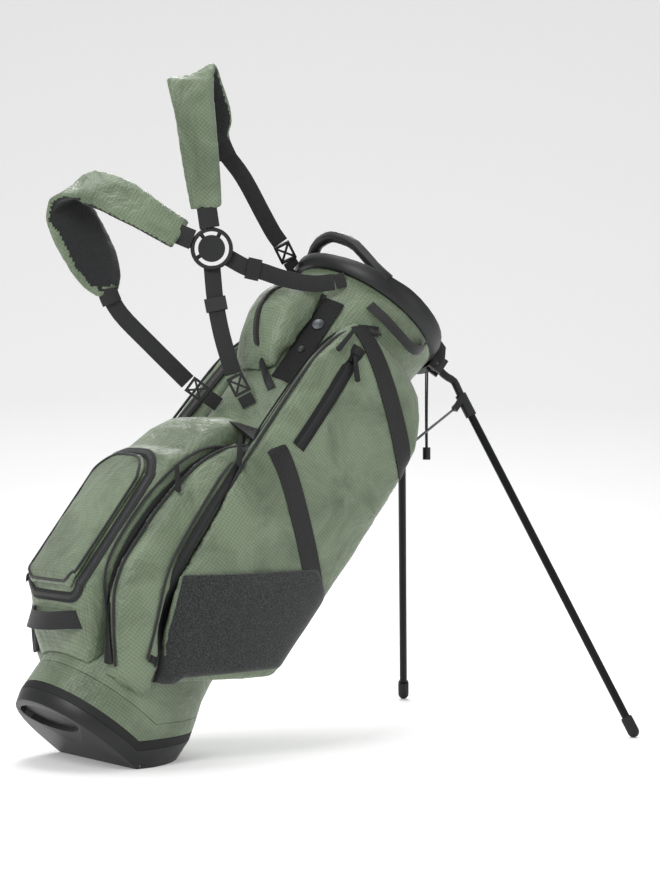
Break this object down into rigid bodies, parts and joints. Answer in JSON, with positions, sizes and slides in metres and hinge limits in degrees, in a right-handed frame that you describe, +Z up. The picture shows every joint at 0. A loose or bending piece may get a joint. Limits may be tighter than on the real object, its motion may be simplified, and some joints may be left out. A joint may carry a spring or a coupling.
{
  "type": "golf stand bag",
  "caption": "Golf stand bag leaning on its heel and two open spring-linked legs, with shoulder straps, club divider, side, ball and valuables pockets, zips and a grab handle.",
  "frame": {"origin": "middle of the heel plate underside, on the ground, with the legs open", "axes": "+Z up, +X towards the legs and -X towards the straps, -Y the near side with the fleece and valuables pockets"},
  "size_m": [0.9048, 0.589, 1.0173],
  "materials": {
    "ripstop": "sage green coated ripstop nylon",
    "lining": "black polyester lining and elastic",
    "webbing": "black nylon webbing and zip tape",
    "fleece": "black stretch mesh",
    "plastic": "moulded black plastic, fine grain",
    "rubber": "black rubber",
    "leg_tube": "black anodised tube",
    "steel": "plated steel"
  },
  "bodies": {
    "bag": {"base_cup": "plastic", "base_trim": "rubber", "boot_fabric": "ripstop", "heel_pin": "steel", "tube_fabric": "ripstop", "cuff": "plastic", "club_divider": "plastic", "divider_panels": "lining", "ball_pocket": "ripstop", "mid_pocket_near": "ripstop", "side_pocket_near": "ripstop", "mid_pocket_far": "ripstop", "side_pocket_far": "ripstop", "hump_pocket": "ripstop", "fleece_pocket": "fleece", "side_zip": "webbing", "mid_zip": "webbing", "ball_zip": "webbing", "valuables_zip": "webbing", "pivot_pin_near": "steel", "pivot_pin_far": "steel", "leg_bracket": "plastic", "elastic_cord_a": "lining", "elastic_cord_b": "lining", "cord_bell": "plastic", "lower_anchor_near": "webbing", "lower_anchor_far": "webbing", "cuff_anchor_near": "webbing", "cuff_anchor_far": "webbing", "base_handle": "webbing", "side_handle": "webbing", "hub_ring": "plastic", "hub_cap": "plastic", "pad_left": "ripstop", "pad_upper": "ripstop", "web_cuff": "webbing", "web_lower": "webbing", "web_upper_end": "webbing", "web_left_end": "webbing", "adjuster_lower": "plastic", "adjuster_cuff": "plastic", "hook_lower": "steel", "hook_left": "steel", "hook_upper": "steel"},
    "leg_near": {"leg_elbow_near": "plastic", "leg_tube_near": "leg_tube", "foot_near": "rubber"},
    "leg_far": {"leg_elbow_far": "plastic", "leg_tube_far": "leg_tube", "foot_far": "rubber"},
    "stay_near": {"stay_near": "steel"},
    "stay_far": {"stay_far": "steel"},
    "actuator": {"actuator_rod": "leg_tube"},
    "heel_plate": {"heel_plate": "rubber"},
    "ball_lid": {"ball_pocket_lid": "ripstop"},
    "valuables_slider": {"valuables_slider": "leg_tube"},
    "valuables_pull": {"valuables_pull": "webbing"},
    "side_pull": {"side_pull": "webbing"},
    "mid_pull": {"mid_pull": "webbing"},
    "ball_pull": {"ball_pull": "webbing"}
  },
  "joints": [
    {"name": "leg_near_pivot", "type": "hinge", "parent": "bag", "child": "leg_near", "pos_m": [0.52728, -0.05, 0.56688], "axis": [-0.321, -0.9081, 0.2687], "range_deg": [-61.9, 0]},
    {"name": "leg_far_pivot", "type": "hinge", "parent": "bag", "child": "leg_far", "pos_m": [0.52728, 0.05, 0.56688], "axis": [0.321, -0.9081, -0.2687], "range_deg": [-61.95, 0]},
    {"name": "stay_near_pivot", "type": "hinge", "parent": "leg_near", "child": "stay_near", "pos_m": [0.54567, -0.07587, 0.50141], "axis": [-0.3357, -0.9143, 0.2266], "range_deg": [0, 77.4]},
    {"name": "stay_far_pivot", "type": "hinge", "parent": "leg_far", "child": "stay_far", "pos_m": [0.54567, 0.07587, 0.50141], "axis": [0.3357, -0.9143, -0.2266], "range_deg": [0, 77.4]},
    {"name": "actuator_slide", "type": "slide", "parent": "bag", "child": "actuator", "axis": [0.6419, 0, 0.7668], "range_m": [-0.0446, 0]},
    {"name": "heel_plate_pivot", "type": "hinge", "parent": "bag", "child": "heel_plate", "pos_m": [-0.04879, 0, 0.004], "axis": [0, 1, 0], "range_deg": [0, 39.95]},
    {"name": "ball_lid_hinge", "type": "hinge", "parent": "bag", "child": "ball_lid", "pos_m": [-0.06458, 0.066, 0.34921], "axis": [-0.6419, 0, -0.7668], "range_deg": [0, 60]},
    {"name": "valuables_slide", "type": "slide", "parent": "bag", "child": "valuables_slider", "axis": [-0.6389, -0.0955, -0.7633], "range_m": [0, 0.11]},
    {"name": "valuables_pull_hinge", "type": "hinge", "parent": "valuables_slider", "child": "valuables_pull", "pos_m": [0.30154, -0.14356, 0.58232], "axis": [-0.9896, 0.1442, 0], "range_deg": [0, 110]},
    {"name": "side_pull_hinge", "type": "hinge", "parent": "bag", "child": "side_pull", "pos_m": [0.31478, -0.12399, 0.62093], "axis": [-0.6234, 0.4526, 0.6375], "range_deg": [0, 110]},
    {"name": "mid_pull_hinge", "type": "hinge", "parent": "bag", "child": "mid_pull", "pos_m": [0.10842, -0.12742, 0.46923], "axis": [-0.8955, 0.4337, 0.1004], "range_deg": [0, 110]},
    {"name": "ball_pull_hinge", "type": "hinge", "parent": "bag", "child": "ball_pull", "pos_m": [0.01581, -0.10227, 0.42913], "axis": [-0.9324, 0.3615, 0], "range_deg": [0, 110]}
  ],
  "couplings": [
    {"joint": "leg_far_pivot", "follows": "leg_near_pivot", "ratio": 1},
    {"joint": "stay_near_pivot", "follows": "leg_near_pivot", "ratio": -1.249},
    {"joint": "stay_far_pivot", "follows": "leg_near_pivot", "ratio": -1.249},
    {"joint": "actuator_slide", "follows": "leg_near_pivot", "m_per_rad": 0.041193},
    {"joint": "heel_plate_pivot", "follows": "leg_near_pivot", "ratio": -0.6445}
  ]
}
